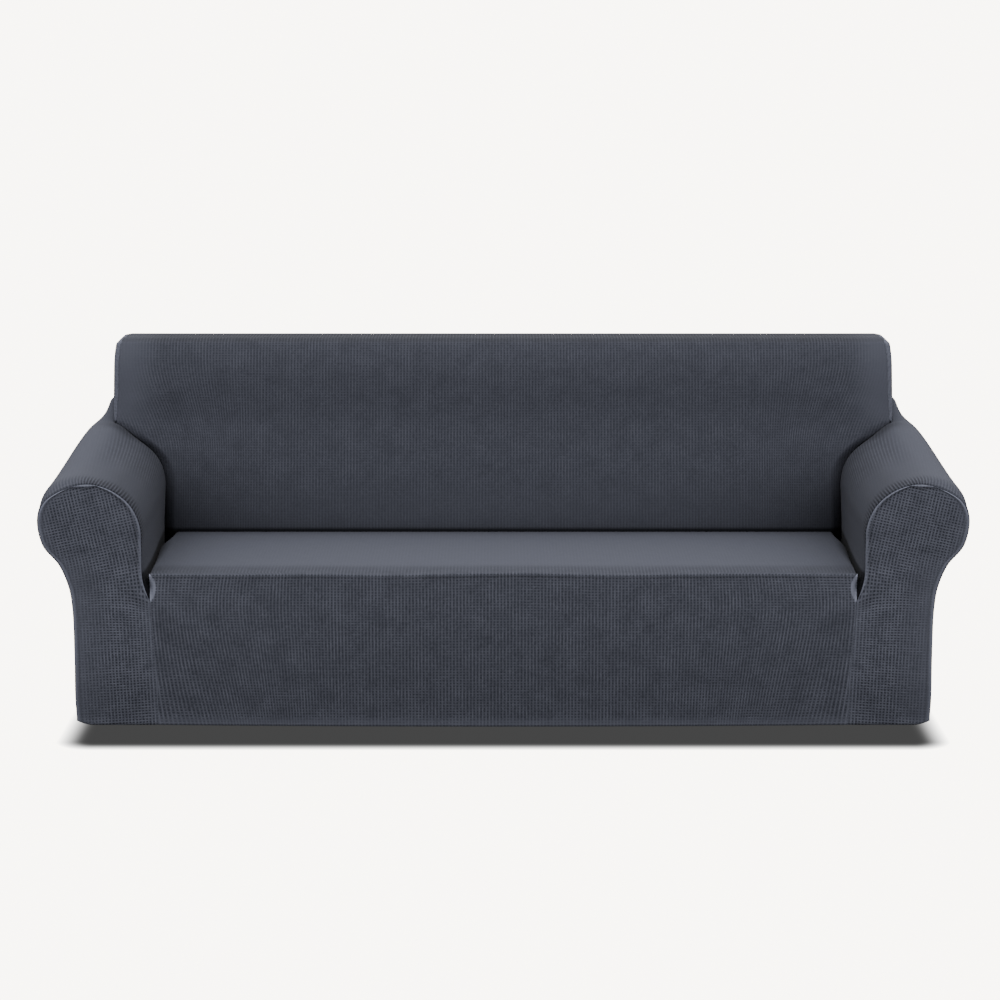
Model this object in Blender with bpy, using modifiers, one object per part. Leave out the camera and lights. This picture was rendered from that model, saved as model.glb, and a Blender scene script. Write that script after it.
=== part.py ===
"""A stretch slipcover as it sits on a three-seat sofa with rolled arms: seven sewn pieces of one knitted
cloth, hollow inside and open below. Run it in Blender 4.5. Metres, +Z up."""

import math
from collections import namedtuple

import bmesh
import bpy
import numpy as np

# Places are worked out from the apron: X across, Y back from it and Z up from the floor.
# ORIGIN, under the top of the back, is where the finished cover has its own zero.
ORIGIN = (0.0, 0.800, 0.8533)
THICKNESS = 0.002
SEAM_GAP = 0.0003
HALF_SEAM = 0.0005
DEPTH = 0.900
SEAT_HEIGHT = 0.394
SEAT_EDGE_RADIUS = 0.007
SEAT_TUCK = (0.5918, 0.366)
TOP_HEIGHT = 0.8553
BACK_HALF_WIDTH = 0.9715
BACK_SEAM_X = 0.9575
BACK_SEAM_FLARE = 0.0055
BACK_EDGE_RADIUS = 0.015
BACK_TOP_RADIUS = 0.006
BACK_CORNER_INSET = 0.005
BACK_CORNER_HEIGHT = 0.058
REAR_SEAM_Y = 0.885
HEM_HEIGHT = 0.039
HEM_CORNER_RISE = 0.010
HEM_CORNER_WIDTH = 0.030
APRON_SAG = 0.004
APRON_HALF_WIDTH = 0.810
SEAT_DEPTH = 0.570
SEAT_CROWN = 0.002
SEAM_DIVE = 0.0015
SEAM_WIDTH = 0.010
RIDGE = 0.0012
FRONT_CROWN = 0.007
FRONT_WIDTH = 0.18
CORNER_SHARE = 0.2
FILL_LENGTH = 0.022
RISE_START = 0.12
END_TURN = 0.6
APRON_SEAM_X = 0.8128
APRON_SEAM_LEAN = 0.0148
LEAN_HEIGHT = 0.21
FLARE_RISE = 0.5
TOP_TURN = 0.1
REAR_TURN = 0.6
LIFT_RISE = 0.1
BACK_TUCK_Z = 0.346
BACK_CORNER = (0.7035, 0.8490)
ARM_FRONT_Y = THICKNESS + SEAM_GAP
ARM_REAR_Y = DEPTH - THICKNESS - SEAM_GAP

# The crease of the arm with the back is pushed back by CREASE_DIVE and into the arm by CREASE_BITE.
# Both fade on the arm's crown, from the row CREASE_FADE_ROW on.
CREASE_DIVE = 0.022
CREASE_WIDTH = 0.032
CREASE_BITE = 0.008
BITE_SHARE = 0.06
CREASE_FADE_ROW = 4.5
TUCK_FOLLOWS = 0.4

# The seat rolls off into the crease along each arm, and into a pit in its rear corners.
SEAT_DIVE = 0.016
CORNER_DIVE = 0.040
CORNER_START_Y = 0.320
ROLL_OFF_LENGTH = 0.050
EDGE_LAP = 0.006

# At the front the seat's corners turn back from the notch up, which leaves a slit beside the arm.
NOTCH_TURN = 0.007
NOTCH_TURN_WIDTH = 0.014
NOTCH_LENGTH = 0.012
CLOTH_SLATE = (0.052, 0.056, 0.070, 1.0)

# The roll of an arm at three places along it, for the arm on the +X side.
RollRow = namedtuple("RollRow", "place front_x front_z full_x full_z crease_x crease_z")
ROLL = (
    RollRow("seat crease", 0.813, 0.328, 0.8195, 0.372, 0.840, 0.372),
    RollRow("inner low", 0.829, 0.380, 0.829, 0.412, 0.840, 0.418),
    RollRow("inner middle", 0.831, 0.450, 0.832, 0.462, 0.8385, 0.470),
    RollRow("inner top", 0.8335, 0.505, 0.834, 0.511, 0.838, 0.518),
    RollRow("inner shoulder", 0.853, 0.550, 0.850, 0.554, 0.847, 0.556),
    RollRow("inner crown", 0.893, 0.585, 0.888, 0.590, 0.873, 0.592),
    RollRow("crown", 0.940, 0.601, 0.938, 0.608, 0.915, 0.622),
    RollRow("valley", 0.980, 0.598, 0.989, 0.613, 0.968, 0.656),
    RollRow("outer crown", 1.020, 0.583, 1.0315, 0.6005, 1.0195, 0.6515),
    RollRow("outer shoulder", 1.049, 0.5625, 1.059, 0.5745, 1.0510, 0.6095),
    RollRow("outermost", 1.066, 0.5245, 1.0705, 0.528, 1.066, 0.545),
    RollRow("underside", 1.0555, 0.460, 1.0605, 0.465, 1.056, 0.470),
    RollRow("neck", 1.0180, 0.4135, 1.0235, 0.414, 1.024, 0.413),
    RollRow("outer top", 0.9990, 0.368, 1.0025, 0.366, 1.003, 0.362),
    RollRow("outer high", 0.9905, 0.318, 0.992, 0.300, 0.992, 0.300),
    RollRow("outer middle", 0.9880, 0.200, 0.989, 0.200, 0.989, 0.200),
    RollRow("outer low", 0.9880, 0.090, 0.988, 0.090, 0.988, 0.090),
    RollRow("hem", 0.9850, 0.039, 0.985, 0.039, 0.985, 0.039),
)
VALLEY = 7
# The outer part of the roll runs on past the crease, from the valley down, to this section at the rear.
EndRow = namedtuple("EndRow", "place x z")
ROLL_END = (
    EndRow("valley", 0.985, 0.699),
    EndRow("outer crown", 1.006, 0.660),
    EndRow("outer shoulder", 1.038, 0.614),
    EndRow("outermost", 1.056, 0.545),
    EndRow("underside", 1.048, 0.470),
    EndRow("neck", 1.018, 0.415),
    EndRow("outer top", 0.998, 0.362),
    EndRow("outer high", 0.990, 0.300),
    EndRow("outer middle", 0.987, 0.200),
    EndRow("outer low", 0.985, 0.090),
    EndRow("hem", 0.982, 0.039),
)
HEM = len(ROLL) - 1
ROLL_ROWS = (
    [0, 1, 2, 3]
    + [3.5 + 0.5 * step for step in range(20)]
    + [14, 15, 16, 17]
)

# The arm front's two sides, each row a pair of places on the roll that a thread joins.
# A place below 0 is on the seam with the apron, as a share of the way down from the notch to the hem.
FrontRow = namedtuple("FrontRow", "inner outer")
FRONT_ROWS = (
    FrontRow(-1.0, 17),
    FrontRow(-0.72, 16),
    FrontRow(-0.36, 15),
    FrontRow(-0.10, 14.2),
    FrontRow(0, 13.6),
    FrontRow(1, 12.6),
    FrontRow(2, 11.6),
    FrontRow(3, 10.8),
    FrontRow(3.6, 10.1),
    FrontRow(4.2, 9.5),
    FrontRow(4.8, 8.9),
    FrontRow(5.3, 8.2),
    FrontRow(5.8, 7.3),
)

# The back from its tuck behind the seat to the seam on its top, as a section along Y.
BackRow = namedtuple("BackRow", "place y z")
BACK = (
    BackRow("tuck", 0.5965, BACK_TUCK_Z),
    BackRow("foot", 0.5925, 0.385),
    BackRow("lower", 0.5980, 0.418),
    BackRow("middle", 0.6140, 0.500),
    BackRow("upper", 0.6500, 0.650),
    BackRow("under the edge", 0.6940, 0.830),
    BackRow("edge", *BACK_CORNER),
    BackRow("top front", 0.7200, TOP_HEIGHT),
    BackRow("top", 0.8000, TOP_HEIGHT + 0.0005),
    BackRow("rear seam", REAR_SEAM_Y, TOP_HEIGHT),
)

# How the seat rolls off into each arm's crease, from the front to the back of the seat.
RollOff = namedtuple("RollOff", "side front_width rear_width")
ROLL_OFFS = (RollOff(-1, 0.008, 0.036), RollOff(1, 0.008, 0.030))

# The shares of the way along each stretch at which the cloth is given points.
ARM_STEPS = (0, 0.006, 0.02, 0.045, 0.1, 0.2, 0.35, 0.52, 0.68, 0.8, 0.88, 0.94, 0.975, 1)
FRONT_STEPS = (0, 0.06, 0.16, 0.32, 0.5, 0.68, 0.84, 0.94, 1)
APRON_STEPS = (0, 0.05, 0.2, 0.4, 0.6, 0.8, 0.88, 0.95)
WING_STEPS = (0, 0.01, 0.035, 0.08, 0.3, 0.55, 0.8, 0.94, 1)
WING_RISE = (0, 0.1, 0.22, 0.4, 0.65, 0.8, 0.9, 0.97, 1)
ACROSS = (0, 0.12, 0.25, 0.38, 0.51, 0.64, 0.76, 0.86, 0.93, 0.965, 0.985, 1)


def smooth(share):
    """0 to 1, level at both ends."""
    share = min(max(share, 0.0), 1.0)
    return share * share * (3 - 2 * share)


def curve(stations, values):
    """A smooth curve through the values, as a function of the station."""
    stations = np.asarray(stations, float)
    values = np.asarray(values, float)
    tangents = np.gradient(values, stations, axis=0)
    last = len(stations) - 2

    def at(station):
        i = min(max(int(np.searchsorted(stations, station, "right")) - 1, 0), last)
        step = stations[i + 1] - stations[i]
        f = (station - stations[i]) / step
        return (
            (1 + 2 * f) * (1 - f) ** 2 * values[i]
            + f * (1 - f) ** 2 * step * tangents[i]
            + f * f * (3 - 2 * f) * values[i + 1]
            + f * f * (f - 1) * step * tangents[i + 1]
        )

    return at


def columns_of(table, *names):
    return np.array([[getattr(row, name) for name in names] for row in table])


def bitten(section):
    """The crease's section moved into the arm, square to itself."""
    along = np.gradient(section, axis=0)
    into = np.stack([along[:, 1], -along[:, 0]], axis=1) / np.linalg.norm(along, axis=1)[:, None]
    bite = [CREASE_BITE * crease_share(row) for row in range(len(section))]
    return section + np.array(bite)[:, None] * into


def crease_share(row):
    """How deep the crease is at a row, 1 on the arm's inner side and 0 from the valley on."""
    return 1 - smooth((row - CREASE_FADE_ROW) / (VALLEY - CREASE_FADE_ROW))


FRONT = columns_of(ROLL, "front_x", "front_z")
FULL = columns_of(ROLL, "full_x", "full_z")
CREASE = columns_of(ROLL, "crease_x", "crease_z")
CREASE_EDGE = bitten(CREASE)
REAR = np.vstack([CREASE_EDGE[:VALLEY], columns_of(ROLL_END, "x", "z")])
NOTCH_Z = ROLL[0].front_z
GIRTH = np.concatenate([[0], np.cumsum(np.linalg.norm(np.diff(FULL, axis=0), axis=1))])
BACK_SECTION = columns_of(BACK, "y", "z")
BACK_GIRTH = np.concatenate(
    [[0], np.cumsum(np.linalg.norm(np.diff(BACK_SECTION, axis=0), axis=1))]
)
back_section = curve(BACK_GIRTH, BACK_SECTION)
back_face_y = curve(BACK_SECTION[:7, 1], BACK_SECTION[:7, 0])


def girth_at(row):
    return float(np.interp(row, range(len(GIRTH)), GIRTH))


def on_section(section, row):
    return curve(GIRTH, section)(girth_at(row))


def seat_edge_z(y):
    """The height of the seat's rounded front edge at a depth y."""
    inside = max(SEAT_EDGE_RADIUS - y, 0.0)
    rise = math.sqrt(max(SEAT_EDGE_RADIUS**2 - inside**2, 0.0))
    return SEAT_HEIGHT - SEAT_EDGE_RADIUS + rise


def corner_share(y):
    """0 along most of the seat, up to 1 in its rear corners."""
    return smooth((y - CORNER_START_Y) / (SEAT_DEPTH - CORNER_START_Y))


def seat_dive(y):
    """How deep the seat's cloth goes beside the arm."""
    return SEAT_DIVE * smooth(y / ROLL_OFF_LENGTH) + (CORNER_DIVE - SEAT_DIVE) * corner_share(y)


def arm_section(share):
    """The roll's section at a share of the way from the arm front to the crease with the back."""
    y = share * back_face_y(0.5)
    fill = 1 - math.exp(-y / FILL_LENGTH)
    rise = smooth((share - RISE_START) / (1 - RISE_START))
    bite = smooth((share - 1 + BITE_SHARE) / BITE_SHARE)
    section = FRONT + fill * (FULL - FRONT) + rise * (CREASE - FULL) + bite * (CREASE_EDGE - CREASE)
    up = 1 - math.exp(-y / NOTCH_LENGTH)
    edge_z = seat_edge_z(y) - seat_dive(y) - EDGE_LAP
    section[0, 1] = NOTCH_Z + up * (edge_z - NOTCH_Z)
    return section


def crease_dive(row):
    return SEAM_DIVE + (CREASE_DIVE - SEAM_DIVE) * crease_share(row)


def crease_y(row):
    """How far back the arm reaches at its crease with the back."""
    row = min(row, VALLEY)
    return float(back_face_y(on_section(CREASE_EDGE, row)[1])) + crease_dive(row)


def hem_rise(row, y):
    """The hem lifts a little at the front corner, where it is drawn round."""
    near_corner = math.exp(-y / HEM_CORNER_WIDTH)
    return HEM_CORNER_RISE * near_corner * smooth(row - HEM + 1)


def arm_point(row, along):
    """A point of the +X arm. along runs 0 to 1 to the crease, and on to 2 at the rear corner."""
    corner_relief = HALF_SEAM * smooth(VALLEY + 1 - row) * smooth(along - 1)
    if along <= 1:
        x, z = on_section(arm_section(along), row)
        y = ARM_FRONT_Y + along * (crease_y(row) - ARM_FRONT_Y)
    else:
        turn = smooth((along - 1) / END_TURN)
        start = on_section(CREASE_EDGE, row)
        x, z = start + turn * (on_section(REAR, row) - start)
        y = crease_y(VALLEY) + (along - 1) * (ARM_REAR_Y - crease_y(VALLEY)) - corner_relief
    return x, y, z + hem_rise(row, y)


def seat_half_width(y):
    """Where the seat meets the arm."""
    share = (y - ARM_FRONT_Y) / (crease_y(0) - ARM_FRONT_Y)
    return arm_section(min(max(share, 0), 1))[0, 0] - 2 * HALF_SEAM


def apron_seam_x(z):
    """The seam of the apron with the arm front, which leans in towards the hem."""
    return APRON_SEAM_X - APRON_SEAM_LEAN * smooth((NOTCH_Z - z) / LEAN_HEIGHT)


def front_place(row):
    """The X and Z of a place on the arm front's outline."""
    if row >= 0:
        return on_section(FRONT, row)
    z = NOTCH_Z - row * (HEM_HEIGHT - NOTCH_Z)
    return np.array([apron_seam_x(z) + HALF_SEAM, z])


def arm_front_point(across, up):
    """A point of the +X arm front: threads run from its inner to its outer side."""
    place = up * (len(FRONT_ROWS) - 1)
    rows = range(len(FRONT_ROWS))
    inner_row = float(np.interp(place, rows, [row.inner for row in FRONT_ROWS]))
    outer_row = float(np.interp(place, rows, [row.outer for row in FRONT_ROWS]))
    inner, outer = front_place(inner_row), front_place(outer_row)
    on_roll = smooth(inner_row)
    inner = inner + np.array([-RIDGE * on_roll, 0])
    outer = outer + np.array([RIDGE, 0])
    x, z = inner + across * (outer - inner)
    if outer_row <= VALLEY + 1:
        top = on_section(FRONT, inner_row + across * (outer_row - inner_row))
        close = smooth((VALLEY + 1 - outer_row) / 0.7)
        x, z = np.array([x, z]) + close * (top + np.array([0, RIDGE]) - np.array([x, z]))
    crowned = math.sin(math.pi * across) ** 0.7 * math.sin(math.pi * up**0.8) ** 0.8
    near_seam = smooth(-6 * inner_row) * math.exp(-across * FRONT_WIDTH / SEAM_WIDTH)
    y = SEAM_DIVE * near_seam - FRONT_CROWN * crowned
    corner = max(across - 1 + CORNER_SHARE, 0) / CORNER_SHARE
    return x, y, z + HEM_CORNER_RISE * corner**2 * smooth(1 - up * 8)


def notch_turn(z, from_side):
    """How far the seat's front corner is turned back beside the slit, above the notch."""
    up = min(max((z - NOTCH_Z) / (SEAT_HEIGHT - NOTCH_Z), 0), 1)
    return NOTCH_TURN * math.sin(math.pi * up) * smooth(1 - from_side / NOTCH_TURN_WIDTH)


def apron_point(across, share):
    """A point of the cloth's stretch from the hem, at share 0, up to the seat's front edge."""
    z = HEM_HEIGHT - APRON_SAG * (1 - across**2)
    z += share * (SEAT_HEIGHT - SEAT_EDGE_RADIUS - z)
    x = across * (apron_seam_x(z) - HALF_SEAM)
    from_side = (1 - abs(across)) * APRON_HALF_WIDTH
    sewn = smooth(1 - (z - NOTCH_Z) / NOTCH_TURN_WIDTH)
    return x, SEAM_DIVE * sewn * math.exp(-from_side / SEAM_WIDTH) + notch_turn(z, from_side), z


def seat_apron_point(across, step):
    """A point of the cloth that runs from the hem up the apron and back over the seat.
    across is -1 to 1, and step a (stretch, share) pair."""
    stretch, share = step
    if stretch == "apron":
        return apron_point(across, share)
    turn = share * math.pi / 2
    tucked = 0
    if stretch == "edge":
        y = SEAT_EDGE_RADIUS * (1 - math.cos(turn))
        z = SEAT_HEIGHT - SEAT_EDGE_RADIUS * (1 - math.sin(turn))
    elif stretch == "seat":
        y = ARM_FRONT_Y + share * (crease_y(0) - ARM_FRONT_Y)
        z = SEAT_HEIGHT + SEAT_CROWN * math.sin(math.pi * share)
    else:
        tucked = share
        y = SEAT_DEPTH + (SEAT_TUCK[0] - SEAT_DEPTH) * math.sin(turn)
        z = SEAT_HEIGHT - (SEAT_HEIGHT - SEAT_TUCK[1]) * (1 - math.cos(turn))
    half = seat_half_width(y)
    x = across * half
    from_arm = half - abs(x)
    side = ROLL_OFFS[0] if across < 0 else ROLL_OFFS[1]
    width = side.front_width + (side.rear_width - side.front_width) * corner_share(y)
    below_tuck = max(CORNER_DIVE - SEAT_HEIGHT + SEAT_TUCK[1], 0)
    dive = (1 - tucked) * seat_dive(y) + tucked * below_tuck
    if stretch == "edge":
        y += notch_turn(z, from_arm)
    y += tucked * TUCK_FOLLOWS * CREASE_DIVE * smooth(1 - from_arm / CREASE_WIDTH)
    return x, y, z - dive * smooth(1 - from_arm / width)


def inside_back_point(across, step):
    """A point of the back's front and top. step is a (stretch, place) pair."""
    stretch, place = step
    dive = 0.0
    if stretch == "crease":
        row = max(place, 0)
        half, z = on_section(CREASE_EDGE, row)
        z = BACK_TUCK_Z if place < 0 else z
        y = float(back_face_y(z))
        half -= 2 * HALF_SEAM
        dive = crease_dive(row)
    elif stretch == "upper":
        y, z, flare = wing_front(place)
        half = back_seam_x(z) + BACK_SEAM_FLARE * flare - 3 * HALF_SEAM
        dive = SEAM_DIVE + (crease_dive(VALLEY) - SEAM_DIVE) * flare
    else:
        y, z = back_section(place)
        y = min(y, REAR_SEAM_Y - 2 * HALF_SEAM)
        half = back_seam_x(z) - 3 * HALF_SEAM
    x = across * half
    width = CREASE_WIDTH if stretch == "crease" else SEAM_WIDTH
    fade = smooth(1 - (half - abs(x)) / width)
    if stretch == "top":
        fade = max(fade, smooth(1 - (REAR_SEAM_Y - y) / SEAM_WIDTH))
        return x, y, z - SEAM_DIVE * fade
    return x, y + dive * fade, z


def back_seam_x(z):
    """The seam up each side of the back, which turns in at the rounded top corner."""
    share = min(max(1 - (BACK_CORNER[1] - z) / BACK_CORNER_HEIGHT, 0), 1)
    return BACK_SEAM_X - BACK_CORNER_INSET * share**2


def wing_front(rise):
    """(y, z, flare) of the seam between the inside and the outside of the back. The flare
    is how much the side still spreads towards the arm there."""
    low = ROLL[VALLEY].crease_z
    z = low + rise * (BACK_CORNER[1] - low)
    return float(back_face_y(z)), z, max(1 - rise / FLARE_RISE, 0) ** 2


def rounded(distance, radius):
    """How far out a rounded edge has come at a distance in from its start, 0 to 1."""
    return math.sqrt(1 - (1 - min(distance / radius, 1)) ** 2)


def wing_point(along, rise):
    """A point of the outside back's +X side. along is 0 at the seam and 1 at the rear corner,
    rise 0 at the arm and 1 at the top."""
    face_y, face_z, flare = wing_front(rise)
    low = np.array(arm_point(VALLEY, 1 + along))
    low_ends = [np.array(arm_point(VALLEY, place)) for place in (1, 2)]
    top_y = BACK_CORNER[0] + along * (REAR_SEAM_Y - BACK_CORNER[0])
    top_z = BACK_CORNER[1] + (TOP_HEIGHT - BACK_CORNER[1]) * rounded(along, TOP_TURN)
    top = np.array([top_y, top_z - SEAM_DIVE])
    top_ends = [np.array(BACK_CORNER), np.array([REAR_SEAM_Y, TOP_HEIGHT])]
    front = np.array([face_y + SEAM_DIVE + flare * (THICKNESS + 2 * HALF_SEAM), face_z])
    rear_z = low_ends[1][2] + rise * (TOP_HEIGHT - low_ends[1][2])
    below_top = (1 - rise) * (TOP_HEIGHT - ROLL_END[0].z)
    over = (DEPTH - REAR_SEAM_Y) * (1 - rounded(below_top, BACK_EDGE_RADIUS))
    rear = np.array([DEPTH - over, rear_z])
    y, z = (
        (1 - rise) * low[1:]
        + rise * top
        + (1 - along) * front
        + along * rear
        - (1 - rise) * ((1 - along) * low_ends[0][1:] + along * low_ends[1][1:])
        - rise * ((1 - along) * top_ends[0] + along * top_ends[1])
    )
    seam_x = back_seam_x(face_z) + BACK_SEAM_FLARE * flare
    side_x = seam_x + BACK_HALF_WIDTH - BACK_SEAM_X
    side_x += (low[0] - side_x) * flare
    span = DEPTH - face_y
    out = rounded(along * span, BACK_EDGE_RADIUS) ** (1 - flare)
    out *= rounded(below_top, BACK_TOP_RADIUS)
    turned_in = 1 - rounded((1 - along) * span, BACK_EDGE_RADIUS)
    out *= 1 - REAR_TURN * turned_in * (1 - flare)
    x = seam_x + (side_x - seam_x) * out
    lift = 2 * HALF_SEAM * (1 - smooth(rise / LIFT_RISE))
    return x, y, z + lift


def outside_back_point(column, row):
    """A point of the outside back. column is ("wing", share) or ("rear", share of the half width),
    row ("upper", rise) or ("lower", place on the arm's rear edge)."""
    part, share = column
    stretch, place = row
    if part == "wing":
        return wing_point(share, place)
    if stretch == "upper":
        x, y, z = wing_point(1, place)
        level = z
    else:
        x, z = on_section(REAR, place)
        y = DEPTH
        level = rear_thread_z(place)
    return x * share, y, level + (z - level) * smooth(share)


def rear_thread_z(place):
    """The even heights of the rear panel's threads, halfway across."""
    top, hem = ROLL_END[0].z, ROLL_END[-1].z
    return top + (hem - top) * (place - VALLEY) / (HEM - VALLEY)


def material(name, shade):
    cloth = bpy.data.materials.new(name)
    cloth.use_nodes = True
    shader = cloth.node_tree.nodes["Principled BSDF"]
    colour = [channel * shade for channel in CLOTH_SLATE[:3]] + [1.0]
    shader.inputs["Base Color"].default_value = colour
    shader.inputs["Roughness"].default_value = 0.95
    shader.inputs["Metallic"].default_value = 0.0
    return cloth


def sheet(name, columns, rows, point, shade, inward=False, cut=None):
    """A sewn piece: a grid whose corners go where point(column, row) says, with the thickness of
    the cloth laid on its inner side. cut(column, row) is true where the piece has no cloth."""
    grid = bmesh.new()
    bmesh.ops.create_grid(grid, x_segments=len(columns) - 1, y_segments=len(rows) - 1, size=0.5)
    places = {}
    for corner in grid.verts:
        i = round((corner.co.x + 0.5) * (len(columns) - 1))
        j = round((corner.co.y + 0.5) * (len(rows) - 1))
        places[corner] = (i, j)
    if cut:
        gone = []
        for face in grid.faces:
            i = min(places[corner][0] for corner in face.verts)
            j = min(places[corner][1] for corner in face.verts)
            if cut(i, j):
                gone.append(face)
        bmesh.ops.delete(grid, geom=gone, context="FACES")
    for corner in grid.verts:
        i, j = places[corner]
        corner.co = point(columns[i], rows[j])
    if inward:
        bmesh.ops.reverse_faces(grid, faces=grid.faces)
    mesh = bpy.data.meshes.new(name)
    grid.to_mesh(mesh)
    grid.free()
    mesh.shade_smooth()
    mesh.materials.append(material(name, shade))
    piece = bpy.data.objects.new(name, mesh)
    thick = piece.modifiers.new("cloth", "SOLIDIFY")
    thick.thickness = THICKNESS
    thick.offset = -1
    thick.use_even_offset = True
    return piece


def mirrored(point, side):
    def placed(column, row):
        x, y, z = point(column, row)
        return side * x, y, z

    return placed


def arm(name, side):
    columns = list(ARM_STEPS) + [1 + step for step in WING_STEPS[1:]]
    crease = len(ARM_STEPS) - 1
    valley = ROLL_ROWS.index(VALLEY)
    return sheet(
        name,
        columns,
        ROLL_ROWS,
        mirrored(lambda column, row: arm_point(row, column), side),
        1.0,
        inward=side > 0,
        cut=lambda i, j: i >= crease and j < valley,
    )


def arm_front(name, side):
    steps = 2 * (len(FRONT_ROWS) - 1)
    up = [step / steps for step in range(steps + 1)]
    return sheet(name, FRONT_STEPS, up, mirrored(arm_front_point, side), 0.95, inward=side < 0)


def both_ways(shares):
    return [-share for share in shares[:0:-1]] + list(shares)


def seat_apron(name):
    steps = (
        [("apron", share) for share in APRON_STEPS]
        + [("edge", step / 5) for step in range(6)]
        + [("seat", step) for step in ARM_STEPS if 0.04 < step < 0.9]
        + [("tuck", share) for share in (0, 0.35, 0.7, 1)]
    )
    return sheet(name, both_ways(ACROSS), steps, seat_apron_point, 1.1)


def inside_back(name):
    crease_rows = [row for row in ROLL_ROWS if row <= VALLEY]
    after_edge = [*BACK_GIRTH[6:-1], BACK_GIRTH[-1] - SEAM_WIDTH, BACK_GIRTH[-1]]
    steps = (
        [("crease", row) for row in [-1] + crease_rows]
        + [("upper", rise) for rise in WING_RISE[1:]]
        + [("top", girth) for girth in after_edge[1:]]
    )
    return sheet(name, both_ways(ACROSS), steps, inside_back_point, 0.9)


def outside_back(name):
    wing = [("wing", step) for step in WING_STEPS]
    half = [("rear", share) for share in (0.97, 0.85, 0.7, 0.5, 0.25)]
    columns = wing + half + [("rear", 0)]
    mirror = [(part, share) for part, share in columns[-2::-1]]
    lower = [("lower", row) for row in ROLL_ROWS[: ROLL_ROWS.index(VALLEY) : -1]]
    rows = lower + [("upper", rise) for rise in WING_RISE]
    corner = len(wing) - 1
    count = len(columns) + len(mirror)
    sides = [1] * len(columns) + [-1] * len(mirror)
    tagged = [(side, column) for side, column in zip(sides, columns + mirror)]

    def placed(tagged_column, row):
        side, column = tagged_column
        if column[0] == "wing" and row[0] == "lower":
            column = ("rear", 1)
        x, y, z = outside_back_point(column, row)
        return side * x, y, z

    return sheet(
        name,
        tagged,
        rows,
        placed,
        0.85,
        cut=lambda i, j: j < len(lower) and not corner <= i < count - 1 - corner,
    )


def clear_scene():
    for old in list(bpy.data.objects):
        bpy.data.objects.remove(old, do_unlink=True)


def main():
    clear_scene()
    cover = bpy.data.collections.new("slipcover")
    bpy.context.scene.collection.children.link(cover)
    root = bpy.data.objects.new("cover_origin", None)
    root.location = [-place for place in ORIGIN]
    cover.objects.link(root)
    pieces = [
        seat_apron("seat_apron"),
        inside_back("inside_back"),
        outside_back("outside_back"),
        arm("arm_right", 1),
        arm("arm_left", -1),
        arm_front("arm_front_right", 1),
        arm_front("arm_front_left", -1),
    ]
    for piece in pieces:
        cover.objects.link(piece)
        piece.parent = root


main()
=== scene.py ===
"""The looks of a three-seat stretch slipcover with rolled arms: each sewn piece as a thin sheet
of a small check jacquard, on a pale floor under soft studio light. Metres, +Z up."""

import math
from collections import namedtuple
from functools import partial

import bmesh
import bpy
import numpy as np
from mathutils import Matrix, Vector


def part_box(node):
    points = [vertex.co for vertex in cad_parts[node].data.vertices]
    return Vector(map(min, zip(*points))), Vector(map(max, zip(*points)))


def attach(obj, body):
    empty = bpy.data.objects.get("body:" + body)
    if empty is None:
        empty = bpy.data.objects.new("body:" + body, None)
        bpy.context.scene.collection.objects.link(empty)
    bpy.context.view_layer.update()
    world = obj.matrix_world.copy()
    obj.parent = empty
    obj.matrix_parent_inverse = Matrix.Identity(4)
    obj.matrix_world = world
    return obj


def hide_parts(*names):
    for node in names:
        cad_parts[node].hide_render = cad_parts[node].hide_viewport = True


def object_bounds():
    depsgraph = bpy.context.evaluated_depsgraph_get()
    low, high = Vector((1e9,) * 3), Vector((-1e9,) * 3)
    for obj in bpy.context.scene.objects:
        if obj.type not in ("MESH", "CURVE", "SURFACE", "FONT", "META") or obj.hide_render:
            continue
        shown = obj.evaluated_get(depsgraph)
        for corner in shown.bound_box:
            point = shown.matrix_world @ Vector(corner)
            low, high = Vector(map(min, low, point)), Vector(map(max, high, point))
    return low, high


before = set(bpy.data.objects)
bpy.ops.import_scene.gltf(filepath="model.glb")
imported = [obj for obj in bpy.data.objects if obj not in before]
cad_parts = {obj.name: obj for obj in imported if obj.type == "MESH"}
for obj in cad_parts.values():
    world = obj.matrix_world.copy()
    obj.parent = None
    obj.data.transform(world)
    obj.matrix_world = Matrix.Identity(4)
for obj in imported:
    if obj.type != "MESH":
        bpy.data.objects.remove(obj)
CAD_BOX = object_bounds()

bl_info = {
    "name": "Stretch slipcover",
    "version": (1, 0, 0),
    "blender": (4, 5, 0),
    "location": "View3D > Sidebar > Slipcover",
    "description": "Builds a fitted stretch slipcover piece by piece, with its studio",
    "category": "Add Mesh",
}

# Places are worked out from the apron: X across, Y back from it and Z up from the floor.
DEPTH = 0.900
SEAT_HEIGHT = 0.394
SEAT_EDGE_RADIUS = 0.007
SEAT_TUCK = (0.5918, 0.366)
SEAT_DEPTH = 0.570
SEAT_CROWN = 0.002
TOP_HEIGHT = 0.8553
BACK_HALF_WIDTH = 0.9715
BACK_SEAM_X = 0.9575
BACK_SEAM_FLARE = 0.0055
BACK_EDGE_RADIUS = 0.015
BACK_TOP_RADIUS = 0.006
BACK_CORNER_INSET = 0.005
BACK_CORNER_HEIGHT = 0.058
REAR_SEAM_Y = 0.885
REAR_LAP = 0.0015
BACK_TUCK_Z = 0.346
BACK_CORNER = (0.7035, 0.8490)
HEM_HEIGHT = 0.039
HEM_CORNER_RISE = 0.010
HEM_CORNER_WIDTH = 0.030
APRON_SAG = 0.004
APRON_HALF_WIDTH = 0.810
APRON_SEAM_X = 0.8128
APRON_SEAM_LEAN = 0.0148
LEAN_HEIGHT = 0.21
HALF_SEAM = -0.0004
SEAM_DIVE = 0.0015
SEAM_WIDTH = 0.006
FRONT_CROWN = 0.007
FRONT_WIDTH = 0.18
CORNER_SHARE = 0.2
FILL_LENGTH = 0.022
RISE_START = 0.12
END_TURN = 0.6
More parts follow.
